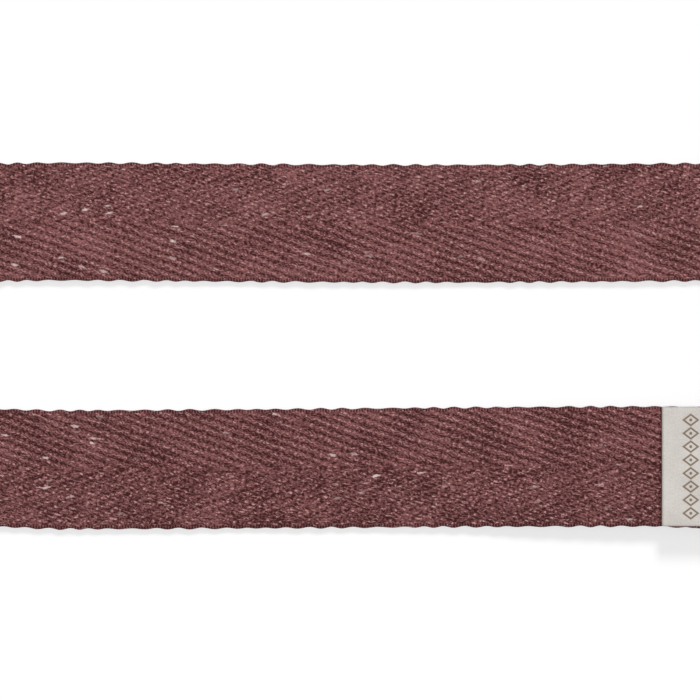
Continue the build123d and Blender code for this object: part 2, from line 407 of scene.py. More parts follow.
@dataclass(frozen=True)
class Twill:
    """Herringbone twill whose yarns run along the strap, with one reversal on its middle line.

    Where v is negative it is tight and its slanting wales show. Where v is positive it is loose,
    and the single crossings show as much. The same formulas give the mesh's relief, of arrays, and
    the shader's, of signals. s and v are in metres.
    """

    half_width: float
    pick: float = 1.79 * MM  # from one crossing yarn to the next
    end: float = 0.655 * MM  # from one lengthwise yarn to the next
    ends_in_repeat: int = 4
    selvedge: float = 0.95 * MM
    selvedge_blur: float = 0.45 * MM
    change: float = 5.0 * MM  # width of the change from the tight half to the loose one
    grain: tuple[float, float, float] = (0.98 * MM, 0.44 * MM, 1.6)  # length, width and detail
    fibre: tuple[float, float, float] = (0.40 * MM, 0.17 * MM, 2.0)
    grain_change: float = 2.4 * MM
    slub: tuple[float, float] = (7.0 * MM, 2.4 * MM)  # cell in which one slub may lie
    slub_lean: float = 0.17
    slub_swing: tuple[float, float] = (0.8 * MM, 0.5 * MM)  # how far a swirl bends a slub
    knot_range: tuple[float, float] = (0.41, 0.62)  # grain from which a knot rises, and at which it is full
    shares: tuple[float, float, float, float] = (0.28, 0.53, 0.18, 0.08)  # of wale, knot, fibre and crown
    tight_lean: float = 0.34  # slope of the spun cells off the strap
    loose_lean: float = -0.12
    loose_seed: float = 3.0

    def wander(self, s: Values, v: Values, quick_share: Values) -> Values:
        """How far the weave strays, in repeats: two slow sine waves, and a quick one where asked for.

        Args:
            s: distance along the strap.
            v: distance across it.
            quick_share: how much of the quick wave shows, from 0 to 1.

        Returns:
            The straying.
        """
        slow = 0.05 * sine(s * (TURN / (23.1 * MM)) + 0.9 * sine(v * (TURN / (19.7 * MM))))
        middling = 0.04 * sine(s * (TURN / (9.3 * MM)) + v * (TURN / (6.1 * MM)))
        quick = 0.07 * quick_share * sine(s * (TURN / (3.9 * MM)) - v * (TURN / (2.3 * MM)))
        return slow + middling + quick

    def lift(self, s: Values, out: Values, sway: Values) -> Values:
        """How far a lengthwise yarn is up, from 0 to 1.

        A yarn rises and dips as a cosine of its phase, which is the distance along in repeats less
        a quarter for each yarn out from the middle line; a power widens the tops.

        Args:
            s: distance along the strap.
            out: distance from the middle line.
            sway: how far the weave strays, in repeats.

        Returns:
            The lift.
        """
        phase = s * (1 / self.pick / self.ends_in_repeat) - out * (1 / self.end / self.ends_in_repeat) + sway
        return (0.5 - 0.4999 * cosine(phase * TURN)) ** 0.7

    def crossing(self, s: Values, out: Values, sway: Values) -> Values:
        """The single crossings, from 0 to 1: a cosine of half the picks along plus half the yarns out."""
        phase = s * (0.5 / self.pick) + out * (0.5 / self.end) + sway
        return 0.5 + 0.5 * cosine(phase * TURN)

    def relief(self, s: np.ndarray, v: np.ndarray) -> np.ndarray:
        """Height of the woven face from 0 to 1: mostly the lift, and partly each yarn's round crown.

        On the loose half the lift gives way to a fifth, and two fifths of the lift and of the
        crossings.

        Args:
            s: distances along the strap.
            v: distances across it.

        Returns:
            The height, in the shape of s and v together.
        """
        out = np.abs(v)
        sway = self.wander(s, v, smooth_step(v / MM))
        wales = self.lift(s, out, sway)
        loose = smooth_step(v / self.change + 0.5)
        lift = wales + loose * (0.2 + 0.4 * (wales + self.crossing(s, out, sway)) - wales)
        crown = 1 - (2 * (out / self.end % 1) - 1) ** 2
        return 1 - (1 - lift) * 0.8 - 0.2 * (1 - crown) * (0.4 + 0.6 * lift)

    def shader_group(self) -> bpy.types.NodeTree:
        """The same weave as a node group, with the spun yarn's grain, fibres and slubs.

        Each output runs from 0 to 1: the weave's height, the yarn's tone with painted shade where the
        weave is low, its painted glints, the pale slubs, the selvedge with its ribs, and the fibres.

        Returns:
            The group's node tree.
        """
        tree = bpy.data.node_groups.new("herringbone_twill", "ShaderNodeTree")
        tree.interface.new_socket("Strap", in_out="INPUT", socket_type="NodeSocketVector")
        for label in ("Height", "ToneAndGapShade", "Glint", "Slub", "Selvedge", "Fibre"):
            tree.interface.new_socket(label, in_out="OUTPUT", socket_type="NodeSocketFloat")
        graph = Graph(tree)
        s, v, _ = graph.parts(graph.node("NodeGroupInput").outputs["Strap"])
        out = abs(v)
        loose = v.ease(-self.change / 2, self.change / 2)
        stray = (graph.noise(graph.point(s * 350.0, v * 900.0), detail=1.0) - 0.5) * loose.spread(0.5, 0.9)
        sway = self.wander(s, v, loose) + stray
        lift = self.lift(s, out, sway)
        wale = graph.between(loose, lift, (lift + self.crossing(s, out, sway)) * 0.6)
        crown = 1.0 - abs(graph.math("FRACT", out * (1 / self.end)).spread(-1.0, 1.0)) ** 2.0
        seed = loose * self.loose_seed
        cloud = graph.noise(graph.point(s * 70.0, v * 90.0, seed))
        unevenness = cloud - 0.5
        swirl = graph.noise(graph.point(s * 620.0, v * 950.0), detail=1.0, output="Color")
        swing_along, swing_out = (part - 0.5 for part in graph.parts(swirl)[:2])
        grain, fibre = self.spun(graph, s, v, (swing_along, swing_out), loose.spread(1.2 * MM, 2.0 * MM))
        knot = grain.slope(*self.knot_range)
        slub = self.slubs(graph, s, out, swing_along, grain, seed)
        start = self.half_width - self.selvedge
        edge = (out + unevenness * (0.8 * MM)).ease(start - self.selvedge_blur, start + self.selvedge_blur)
        ribs = sine(s * (2 * TURN / self.pick)).spread(0.22, 0.98)
        of_wale, of_knot, of_fibre, of_crown = self.shares
        weave = wale * of_wale + knot * of_knot + fibre * of_fibre + crown * wale * of_crown
        height = weave * (1.0 - edge) + (ribs * 0.75 + knot * 0.25) * edge
        graph.node("NodeGroupOutput", {
            "Height": height,
            # painted shade: the tone follows the weave's height, so the gaps between yarns come out darker;
            # the heather's unevenness is real colour
            "ToneAndGapShade": height + unevenness * 0.55 + loose.spread(0.014, -0.014),
            "Glint": (knot * wale * fibre).ease(0.32, 0.60),
            "Slub": slub,
            "Selvedge": edge,
            "Fibre": fibre,
        })
        return tree

    def spun(
        self, graph: Graph, s: Signal, v: Signal, swing: tuple[Signal, Signal], reach: Signal
    ) -> list[Signal]:
        """The spun yarn's grain and its fibres: noises stretched along a line that leans off the strap.

        Args:
            graph: the group's graph.
            s: distance along.
            v: distance across.
            swing: swirls along and outwards, about 0.
            reach: how far a swirl moves the cells.

        Returns:
            The grain and the fibres, each from 0 to 1.
        """
        bent_s = s + swing[0] * reach
        bent_out = abs(v) + swing[1] * reach
        over = v.ease(-self.grain_change / 2, self.grain_change / 2)
        halves = []
        for lean, seed in ((self.tight_lean, 0.0), (self.loose_lean, self.loose_seed)):
            along = bent_s * 0.94 + bent_out * lean
            across = bent_out * 0.94 + bent_s * -lean
            cells = (self.grain, self.fibre)
            halves.append([
                graph.noise(graph.point(along * (1 / length), across * (1 / width), seed), detail=detail)
                for length, width, detail in cells
            ])
        return [graph.between(over, tight, loose) for tight, loose in zip(*halves)]

    def slubs(
        self, graph: Graph, s: Signal, out: Signal, swing: Signal, grain: Signal, seed: Signal
    ) -> Signal:
        """Pale slubs: a soft spot in the middle of a few slanting cells, some faint and some bright.

        Args:
            graph: the group's graph.
            s: distance along.
            out: distance from the middle line.
            swing: swirl about 0 that bends the cells.
            grain: the grain, which frays the spots.
            seed: what makes one half of the strap differ from the other.

        Returns:
            The slubs, from 0 to 1.
        """
        length, width = self.slub
        along = s * 0.985 + out * self.slub_lean + swing * self.slub_swing[0]
        across = out * 0.985 + s * -self.slub_lean + swing * self.slub_swing[1]
        place = graph.point(along * (1 / length), across * (1 / width), seed)
        cell = graph.node("ShaderNodeTexVoronoi", {"Vector": place, "Scale": 1.0})
        chosen, brightness, _ = graph.parts(cell.outputs["Color"])
        spot = (graph.signal(cell, "Distance") + grain * -0.26).ease(0.13, -0.06)
        return spot * chosen.ease(0.74, 0.86) * brightness.spread(0.25, 0.95)


@dataclass(frozen=True)
class CottonFinish:
    """Heathered maroon cotton with stray pale slubs, darker in the gaps between yarns partly by its heather
    and partly as painted shade, and with painted glints.
    """

    # dark end of the tone: the heather's darkest yarn, and painted shade in the gaps between yarns
    dark_yarn_and_gap_shade: Colour = (0.046, 0.0115, 0.0115, 1.0)
    light: Colour = (0.314, 0.128, 0.127, 1.0)
    rib: Colour = (0.27, 0.088, 0.090, 1.0)
    glint: Colour = (0.62, 0.39, 0.38, 1.0)
    slub: Colour = (0.74, 0.56, 0.54, 1.0)
    relief: float = 0.34 * MM
    handled: float = 0.05  # how much darker the ring end's half is
    handled_blur: float = 50.0 * MM
    # painted shade: the strip beside the label's front is painted darker, in place of the shadow that falls
    # there
    painted_crease_shade: float = 0.16  # how much darker the crease beside the label is

    def material(self, weave: bpy.types.NodeTree, crease: float, leg: float) -> bpy.types.Material:
        """Dress the twill group in colour.

        Args:
            weave: the twill's node group.
            crease: distance along the strap of the line beside the label's front that is painted darker as
                painted shade.
            leg: distance along the strap of the middle of the leg between the runs.

        Returns:
            The material.
        """
        graph, shader, material = start_material("webbing_cotton")
        where = graph.node("ShaderNodeUVMap", uv_map="strap").outputs[0]
        twill = graph.node("ShaderNodeGroup", {"Strap": where}, node_tree=weave)
        s = graph.parts(where)[0]
        # painted shade beside the label's front, where its shadow falls
        painted_crease_shade = abs(s - crease).ease(1.1 * MM, 0.2 * MM)
        fresh = s.ease(leg - self.handled_blur, leg + self.handled_blur)
        tone_and_painted_shade = graph.signal(twill, "ToneAndGapShade") + fresh * self.handled + painted_crease_shade * -self.painted_crease_shade
        # low places of the weave take the dark colour, partly heather and partly painted shade, and the
        # crests the light one
        tone = tone_and_painted_shade.slope(0.26, 0.94)
        yarn = graph.blend(tone, self.dark_yarn_and_gap_shade, self.light)
        bound = graph.blend(tone, self.dark_yarn_and_gap_shade, self.rib)
        edged = graph.blend(graph.signal(twill, "Selvedge") * 0.7, yarn, bound)
        glinting = graph.blend(graph.signal(twill, "Glint") * 0.68, edged, self.glint)
        graph.fill(shader, {
            "Base Color": graph.blend(twill.outputs["Slub"], glinting, self.slub),
            "Roughness": graph.signal(twill, "Fibre").spread(0.78, 0.98),
            "Normal": graph.bump(twill.outputs["Height"], self.relief, 0.85),
            "Sheen Weight": 0.03,
            "Sheen Roughness": 0.55,
            "Specular IOR Level": 0.08,
        })
        return material


@dataclass(frozen=True)
class LabelFinish:
    """Smooth cream imitation leather with tan pressed marks."""

    cream: Colour = (0.590, 0.560, 0.526, 1.0)
    warm: Colour = (0.462, 0.430, 0.394, 1.0)
    tan: Colour = (0.180, 0.122, 0.078, 1.0)

    def material(self) -> bpy.types.Material:
        """Cream with a faint mottle, specks and a fine grain, and tan where the mark attribute says.

        Returns:
            The material.
        """
        graph, shader, material = start_material("label_leather")
        place = graph.place()
        mottle = graph.noise(place, 90.0, 3.0)
        grain = graph.node("ShaderNodeTexVoronoi", {"Vector": place, "Scale": 2300.0}).outputs["Distance"]
        mark = graph.node("ShaderNodeAttribute", attribute_name="mark").outputs["Fac"]
        uneven = mottle * 0.45 + graph.noise(place, 1900.0, 2.0) * 0.55
        base = graph.blend(uneven.ease(0.30, 0.72), self.cream, self.warm)
        graph.fill(shader, {
            "Base Color": graph.blend(mark, base, self.tan),
            "Roughness": mottle.spread(0.52, 0.68),
            "Normal": graph.bump(grain, 0.02 * MM, 0.5),
            "Specular IOR Level": 0.35,
        })
        return material


@dataclass(frozen=True)
class NickelFinish:
    """Nickel-plated wire with fine rubbing marks."""

    bright: Colour = (0.66, 0.645, 0.61, 1.0)
    dull: Colour = (0.50, 0.485, 0.455, 1.0)

    def material(self) -> bpy.types.Material:
        """Polished metal whose colour and roughness vary with cloudy wear and fine scratches.

        Returns:
            The material.
        """
        graph, shader, material = start_material("ring_nickel")
        place = graph.place()
        cloud = graph.noise(place, 160.0, 4.0)
        stretched = graph.node("ShaderNodeMapping", {"Vector": place, "Scale": (400.0, 2600.0, 400.0)})
        scratch = graph.noise(stretched.outputs[0], 1.0, 2.0)
        graph.fill(shader, {
            "Base Color": graph.blend(cloud.ease(0.35, 0.7), self.bright, self.dull),
            "Roughness": cloud.spread(0.12, 0.30) + scratch.ease(0.6, 0.8) * 0.12,
            "Normal": graph.bump(scratch, 0.006 * MM, 0.4),
            "Metallic": 1.0,
        })
        return material


@dataclass(frozen=True)
class ThreadFinish:
    """Waxed sewing thread, a little lighter than the webbing."""

    dark: Colour = (0.13, 0.045, 0.045, 1.0)
    light: Colour = (0.30, 0.13, 0.125, 1.0)

    def material(self) -> bpy.types.Material:
        """Fine fibre noise and a slow change of tone.

        Returns:
            The material.
        """
        graph, shader, material = start_material("seam_thread")
        place = graph.place()
        fibre = graph.noise(place, 3500.0, 2.0)
        mixed = fibre * 0.5 + graph.noise(place, 300.0, 1.0) * 0.5
        graph.fill(shader, {
            "Base Color": graph.blend(mixed.ease(0.3, 0.7), self.dark, self.light),
            "Roughness": fibre.spread(0.45, 0.7),
            "Normal": graph.bump(fibre, 0.03 * MM, 0.5),
        })
        return material


# ---------------------------------------------------------------- the strap's lay-out


def node_box(name: str) -> np.ndarray:
    """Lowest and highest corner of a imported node, as two rows."""
    return np.array([list(corner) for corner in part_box(name)])


class Half(Enum):
    """The strap's two halves, which meet in the middle of the leg, and which way along X each runs."""

    LOWER = -1.0
    UPPER = 1.0


@dataclass(frozen=True)
class Layout:
    """The strap's sizes and places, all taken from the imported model's nodes and joints."""

    width: float
    thickness: float
    fold_radius: float  # inside of the two diagonal folds
    lower_y: float
    upper_y: float
    leg_x: float  # middle line of the leg that crosses between the runs
    seam_lift: float  # underside of the lower run where it is sewn
    label_front_x: float
    label_end_x: float
    label_width: float
    label_top: float
    loop_start_x: float
    tail_end_x: float
    bar_x: float
    lower_bar_z: float
    upper_bar_z: float
    roll_x: float  # where the upper run starts the roll
    roll_radius: float  # outside of its outermost half turn
    ring_width: float  # outside of a ring, along its bar

    @staticmethod
    def from_frame() -> "Layout":
        """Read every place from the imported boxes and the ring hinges.

        Returns:
            The lay-out.
        """
        run, upper = node_box("webbing_lower_run"), node_box("webbing_upper_run")
        leg, loop, label = node_box("webbing_cross_leg"), node_box("webbing_ring_loop"), node_box("label")
        roll, ring = node_box("webbing_roll"), node_box("lower_d_ring")
        thickness = leg[1, 2] - leg[0, 2]
        hinges = {joint["child"]: joint["pos_m"] for joint in frame["joints"]}
        return Layout(
            width=float(upper[1, 1] - upper[0, 1]),
            thickness=float(thickness),
            fold_radius=float(leg[0, 2] - thickness) / 2,
            lower_y=float(run[:, 1].mean()),
            upper_y=float(upper[:, 1].mean()),
            leg_x=float(leg[:, 0].mean()),
            seam_lift=float(run[1, 2] - thickness),
            label_front_x=float(label[0, 0]),
            label_end_x=float(label[1, 0]),
            label_width=float(label[1, 1] - label[0, 1]),
            label_top=float(label[1, 2]),
            loop_start_x=float(run[1, 0]),
            tail_end_x=float(loop[0, 0]),
            bar_x=float(hinges["lower_ring"][0]),
            lower_bar_z=float(hinges["lower_ring"][2]),
            upper_bar_z=float(hinges["upper_ring"][2]),
            roll_x=float(upper[1, 0]),
            roll_radius=float(roll[1, 2] / 2),
            ring_width=float(ring[1, 1] - ring[0, 1]),
        )

    @property
    def label_thickness(self) -> float:
        """Thickness of the label, from the stack of run, label, tail and label."""
        return (self.label_top - self.seam_lift - 2 * self.thickness) / 2

    @property
    def spacing(self) -> float:
        """Distance between the middle lines of the two runs."""
        return self.upper_y - self.lower_y


@dataclass(frozen=True)
class Fold:
    """The lower diagonal fold: the strap goes down over a bend line at 45 degrees and comes back on top."""

    line_x: float  # where the bend line crosses the run's middle line
    line_y: float
    radius: float  # of the neutral surface
    floor: float  # height of the neutral surface before the fold

    def bent(self, x: np.ndarray, y: np.ndarray, n: np.ndarray) -> tuple[np.ndarray, np.ndarray, np.ndarray]:
        """Bend flat places over the fold line.

        w is the distance past the bend line and u the distance along it. Up to half a turn of the
        neutral radius the surface goes round a cylinder along the line; past that it lies flat
        again, on top, and w runs back. u never changes, so lengths on the neutral surface hold.

        Args:
            x: flat X.
            y: flat Y.
            n: height over the neutral surface, towards the side that ends up inside the fold.

        Returns:
            X, Y and Z of the folded places.
        """
        root = math.sqrt(0.5)
        w = -root * (x - self.line_x) - root * (y - self.line_y)
        u = -root * (x - self.line_x) + root * (y - self.line_y)
        angle = np.clip(w / self.radius, 0.0, math.pi)
        past = np.maximum(w - math.pi * self.radius, 0.0)
        out = np.minimum(w, 0.0) + (self.radius - n) * np.sin(angle) - past
        z = self.floor + self.radius - (self.radius - n) * np.cos(angle)
        return self.line_x - root * out - root * u, self.line_y - root * out + root * u, z


@dataclass(frozen=True)
class Section:
    """The strap's cross-section as a closed line: face, left edge, back and right edge."""

    width: float
    thickness: float
    face_step: float
    back_step: float
    edge_points: int = 5
    edge_fullness: float = 0.8  # power of the sine that rounds an edge
    edge_pattern: float = 0.6  # share of an edge's reach by which the pattern goes on

    def line(self) -> tuple[np.ndarray, np.ndarray, np.ndarray]:
        """Points round the section, from the right end of the face.

        Returns:
            v and n of each point, and a sign that is 1 on the face, -1 on the back and between
            them on the edges.
        """
        half = self.width / 2
        round_off = self.thickness / 2
        face_count = int((half - round_off) / self.face_step)
        back_count = int((half - round_off) / self.back_step)
        face = np.arange(face_count, -face_count - 1, -1) * self.face_step
        back = (np.arange(-back_count, back_count) + 0.5) * self.back_step
        angle = np.linspace(0, math.pi, self.edge_points + 2)[1:-1]
        edge_v = face[0] + (half - face[0]) * np.sin(angle) ** self.edge_fullness
        edge_n = round_off * np.cos(angle)
        v = np.concatenate([face, -edge_v, back, edge_v[::-1]])
        sides = (np.full(len(face), round_off), edge_n, np.full(len(back), -round_off), edge_n[::-1])
        n = np.concatenate(sides)
        return v, n, n / round_off

    def pattern_v(self, v: np.ndarray, n: np.ndarray) -> np.ndarray:
        """v for the weave's colours: on an edge it goes on growing with the way round to its middle."""
        reach = np.maximum(np.abs(v) - (self.width - self.thickness) / 2, 0.0)
        return v + np.sign(v) * reach * (1 - np.abs(n) / (self.thickness / 2)) * self.edge_pattern


@dataclass
class Webbing:
    """The strap's one length of webbing, made as three closed sheets that meet end to end.

    Each half has its own side view: the lower half's runs from the raw end of the tail to the
    middle of the leg, and the upper half's from there to the free end. Both halves are worked out
    about the lower run's middle line, and the upper one is then mirrored across the middle.
    """

    layout: Layout
    twill: Twill
    finish: CottonFinish = CottonFinish()
    overall: float = 1885.0 * MM
    relief_depth: float = 0.34 * MM
    back_shift: float = 0.37  # how far the back's weave lies beside the face's, in yarns
    scallop: float = 0.30 * MM
    scallop_period: float = 7.1 * MM
    scallop_zone: float = 4.0 * MM
    scallop_starts: tuple[float, float] = (4.0, 1.0)  # of the lower and the upper half
    ripple_depth: float = 0.10 * MM
    swing: float = 0.57 * MM  # sideways, of the lower run
    swing_length: float = 440.0 * MM
    swing_offset: float = 0.09 * MM
    sag: float = 0.36 * MM  # sideways, of the upper run
    sag_length: float = 280.0 * MM
    sag_from_middle: float = 25.0 * MM
    slack: tuple[float, float] = (0.008, 0.009)  # how much wider than cut, and how much more at the label
    slack_length: float = 220.0 * MM
    middle_to_label: float = 100.2 * MM
    fold_reach: float = 20.0 * MM
    fade_length: float = 25.0 * MM
    past_label: float = 30.0 * MM  # how far the upper run lies free beyond the label's front
    loop_end: float = 70.0 * MM  # s by which the loop is passed
    label_slip: float = 0.32 * MM
    slip_length: float = 6.0 * MM
    slip_start: float = 1.0 * MM  # past the label's front
    slip_stop: float = 4.0 * MM  # before the bars' middle line
    crease_depth: float = 0.35 * MM
    crease_width: float = 0.75 * MM
    crease_past: float = 0.1 * MM
    roll_ease: float = 60.0 * MM
    throat_level: float = 2.0 * MM
    ring_wire_radius: float = 2.0 * MM
    bar_run_out: float = 2.0 * MM
    bar_run_in: float = 1.5 * MM
    loop_bend: float = 4.0 * MM
    rise_length: float = 97.0 * MM
    rise_to_label: float = 3.2 * MM
    turn_gap: float = 0.25 * MM
    core_radius: float = 10.0 * MM
    hem_radius: float = 0.1 * MM
    hem_flap: float = 20.0 * MM
    fine_from: float = 22.0 * MM  # past the leg's middle line
    fine_past: float = 15.0 * MM  # past the label's front
    fine_height: float = 0.6  # of the label's height, under which a run counts as open
    inner_step: float = 1.5 * MM  # between rows inside the roll

    def __post_init__(self) -> None:
        """Work out the fold and the side views of both halves."""
        lay = self.layout
        radius = lay.fold_radius + lay.thickness / 2
        inset = math.pi * radius / math.sqrt(2)
        self.fold = Fold(lay.leg_x + inset, lay.lower_y, radius, lay.thickness / 2)
        ring_end = self.ring_end_path()
        self.to_leg = ring_end.length
        self.paths = {Half.LOWER: ring_end, Half.UPPER: self.rolled_end_path()}

    def ring_end_path(self) -> SidePath:
        """Neutral line from the raw end of the tail, round both bars and flat to the middle of the leg.

        Returns:
            The lower half's side view.
        """
        lay = self.layout
        half = lay.thickness / 2
        loop_radius = lay.lower_bar_z - half
        low = lay.seam_lift + half
        tail = low + lay.thickness + lay.label_thickness
        throat = lay.loop_start_x + self.throat_level
        high = lay.upper_bar_z + loop_radius
        bar_side = lay.bar_x - self.ring_wire_radius
        corners = [
            (lay.tail_end_x, tail),
            (throat, tail),
            (bar_side - self.bar_run_out, high),
            (lay.bar_x + loop_radius, high),
            (lay.bar_x + loop_radius, half),
            (bar_side - self.bar_run_in, half),
            (throat, low),
            (lay.loop_start_x, low),
        ]
        bend = self.loop_bend
        stretches = rounded_stretches(corners, [bend, bend, loop_radius, loop_radius, bend, bend])
        rise_end = lay.label_front_x - self.rise_to_label
        stretches.append(Stretch(lay.loop_start_x - rise_end))
        angle = 2 * math.atan(lay.seam_lift / self.rise_length)
        radius = self.rise_length / 2 / math.sin(angle)
        stretches += [Stretch(radius * angle, angle), Stretch(radius * angle, -angle)]
        stretches.append(Stretch(rise_end - self.rise_length - lay.leg_x + lay.spacing / 2))
        return SidePath((lay.tail_end_x, tail), 0.0, stretches)

    def rolled_end_path(self) -> SidePath:
        """Neutral line from the middle of the leg, along the upper run, round the roll and the hem.

        The roll is half circles on two centres, each smaller than the last by half the pitch. Their
        number and the first radius make the strap as long as it was cut.

        Returns:
            The upper half's side view.
        """
        lay = self.layout
        half = lay.thickness / 2
        start_x = lay.leg_x - lay.spacing / 2
        run = Stretch(lay.roll_x - start_x)
        pitch = lay.thickness + self.turn_gap
        hem_bend = math.pi * (self.hem_radius + half)
        left = self.overall - self.to_leg - run.length - hem_bend - self.hem_flap
        grow = pitch / 4
        first = self.core_radius + half - grow
        half_turns = int((math.sqrt(first**2 + 4 * grow * left / math.pi) - first) / (2 * grow))
        log.info("half turns in the roll: %d", half_turns)
        middle_radii = lay.roll_radius - half - np.arange(half_turns) * pitch / 2
        turns = [Stretch(math.pi * float(radius), math.pi) for radius in middle_radii]
        flap_radius = float(middle_radii[-1]) - 2 * (self.hem_radius + half)
        hem = [Stretch(hem_bend, math.pi), Stretch(self.hem_flap, -self.hem_flap / flap_radius)]
        return SidePath((start_x, half), 0.0, [run] + turns + hem)

    @property
    def crease(self) -> float:
        """s of the lower run where the label's front stands on it."""
        return self.to_leg - (self.layout.label_front_x - self.layout.leg_x + self.layout.spacing / 2)

    @property
    def run_middle(self) -> float:
        """X of the middle of the runs' stretch in the open."""
        return self.layout.label_front_x - self.middle_to_label

    @property
    def run_end(self) -> float:
        """Distance along the upper half where the roll starts."""
        return float(self.paths[Half.UPPER].poses[1, 0])

    def scalloped(self, s: np.ndarray, v: np.ndarray, half: Half) -> np.ndarray:
        """Let the selvedges wave in and out.

        Near an edge v moves outwards and inwards by a cosine of s, whose phase drifts by two slow
        sine waves and whose size by one, eased in over the last few millimetres.

        Args:
            s: distances along the strap.
            v: distances across it.
            half: the strap's half.

        Returns:
            The moved v.
        """
        start = self.scallop_starts[int(half is Half.UPPER)]
        near = smooth_step((np.abs(v) - self.layout.width / 2) / self.scallop_zone + 1)
        drift = 0.9 * np.sin(TURN * s / (61 * MM) + start) + 0.5 * np.sin(TURN * s / (27 * MM) + 2 * start)
        size = 0.75 + 0.25 * np.sin(TURN * s / (43 * MM) + 3 * start)
        wave = size * np.cos(TURN * s / self.scallop_period + drift + start) - 0.35
        return v + np.sign(v) * near * self.scallop * wave

    def woven(self, s: np.ndarray, v: np.ndarray, n: np.ndarray, face: np.ndarray) -> np.ndarray:
        """Sink the surface into the weave: n less the relief's depth, on the face and on the back alike."""
        shift = self.back_shift * self.twill.end * (face < 0)
        return n - face * self.relief_depth * (1 - self.twill.relief(s, v + shift))

    def fade(self, x: np.ndarray) -> np.ndarray:
        """1 along the open runs, easing to 0 before the folds."""
        return smooth_step((x - self.layout.leg_x - self.fold_reach) / self.fade_length)

    def bow(self, x: np.ndarray, half: Half) -> np.ndarray:
        """How far a run strays sideways, by a long sine or cosine wave of x.

        The lower run swings over, and the upper one sags in the middle.

        Args:
            x: places along the run.
            half: the strap's half.

        Returns:
            The shift in Y.
        """
        from_middle = x - self.run_middle
        if half is Half.UPPER:
            sagging = np.cos(TURN * (from_middle - self.sag_from_middle) / self.sag_length)
            return -self.sag * sagging * self.fade(x)
        swinging = np.sin(TURN * from_middle / self.swing_length)
        return (self.swing * swinging - self.swing_offset) * self.fade(x)

    def ripple(self, s: np.ndarray, v: np.ndarray) -> np.ndarray:
        """Slight unevenness of the cloth's height: two long sine waves that lean across the strap.

        Args:
            s: distances along the strap.
            v: distances across it.

        Returns:
            The height.
        """
        first = np.sin(TURN * (s / (83 * MM) + v / (120 * MM)))
        second = np.sin(TURN * (s / (37 * MM) - v / (90 * MM)) + 1.1)
        return self.ripple_depth * (first + 0.6 * second - 1)

    def lies_free(self, s: np.ndarray, half: Half) -> np.ndarray:
        """Where the strap lies free on the surface.

        Args:
            s: distances along that half's path.
            half: the strap's half.

        Returns:
            1 on the open runs, and 0 in the seam, the loop, the folds and the roll.
        """
        x, _, _ = self.paths[half].at(s)
        if half is Half.UPPER:
            stop = self.layout.label_front_x + self.past_label
            return self.fade(x) * smooth_step((stop - x) / self.fade_length)
        before_label = smooth_step((self.layout.label_front_x - x) / self.fade_length)
        return self.fade(x) * before_label * (s > self.loop_end)

    def slackness(self, s: np.ndarray, half: Half) -> np.ndarray:
        """How much wider than cut the strap lies: the lower run 1 to 2%, more towards the label.

        Args:
            s: distances along that half's path.
            half: the strap's half.

        Returns:
            The width over the cut width.
        """
        if half is Half.UPPER:
            return np.ones_like(s)
        x, _, _ = self.paths[half].at(s)
        towards_label = smooth_step((x - self.run_middle) / self.slack_length + 0.5)
        return 1.0 + (self.slack[0] + self.slack[1] * towards_label) * self.fade(x)

    def stray(self, s: np.ndarray, half: Half) -> np.ndarray:
        """How far the strap lies out of line, across its width.

        On the lower half it slips a little towards its left under the label. On the upper half
        the turns of the roll wander by two slow sine waves of s, and the run doesn't.

        Args:
            s: distances along the whole strap.
            half: the strap's half.

        Returns:
            The shift in v.
        """
        if half is Half.UPPER:
            rolled = smooth_step((s - self.to_leg - self.run_end) / self.roll_ease)
            long_wave = 0.38 * MM * np.sin(TURN * s / (310 * MM))
            return rolled * (long_wave + 0.2 * MM * np.sin(TURN * s / (97 * MM) + 0.7))
        x, _, _ = self.paths[half].at(s)
        under_label = smooth_step((x - self.layout.label_front_x - self.slip_start) / self.slip_length)
        before_rings = smooth_step((self.layout.bar_x - self.slip_stop - x) / self.slip_length)
        return self.label_slip * under_label * before_rings

    def places(self, s: np.ndarray, v: np.ndarray, n: np.ndarray, half: Half) -> np.ndarray:
        """Places on a run with its fold and its half of the leg.

        The point is the side view's point, moved out by n along its normal, and across by v. Past
        the bend line it is folded. The upper run is the lower one mirrored across the middle.

        Args:
            s: distances along that half's path.
            v: distances across.
            n: heights over the neutral line.
            half: the strap's half.

        Returns:
            Places in the shape of s, v and n together, 3.
        """
        lay = self.layout
        x, z, heading = self.paths[half].at(s)
        flat_y = lay.lower_y - v - half.value * self.bow(x, half)
        standing = (x - half.value * n * np.sin(heading), flat_y, z + half.value * n * np.cos(heading))
        bent = self.fold.bent(x, flat_y, n)
        folded = x + flat_y < self.fold.line_x + self.fold.line_y
        points = np.stack([np.where(folded, over, plain) for over, plain in zip(bent, standing)], axis=-1)
        if half is Half.UPPER:
            points[..., 1] = lay.lower_y + lay.upper_y - points[..., 1]
        return points

    def sheet(self, name: str, s: np.ndarray, section: Section, half: Half) -> bpy.types.Object:
        """One closed sheet of webbing.

        Its height takes the weave, the ripple and a groove beside the label, whose depth falls off
        as the exponential of minus the distance squared.

        Args:
            name: the object's name.
            s: distances along that half's path, one for each row.
            section: the cross-section.
            half: the strap's half.

        Returns:
            The piece.
        """
        v, n, face = section.line()
        along = s[:, None]
        own_s = along + (self.to_leg if half is Half.UPPER else 0.0)
        across = self.scalloped(own_s, v * self.slackness(along, half), half) + self.stray(own_s, half)
        height = self.woven(own_s, v, n, face) + self.ripple(own_s, v) * self.lies_free(along, half)
        from_crease = (own_s - self.crease - self.crease_past) / self.crease_width
        groove = self.crease_depth * np.exp(-(from_crease**2)) * np.clip(face, 0.0, 1.0)
        uv = np.stack(np.broadcast_arrays(own_s, section.pattern_v(v, n)), axis=-1)
        return closed_tubes(name, self.places(along, across, height - groove, half)[None], uv[None])

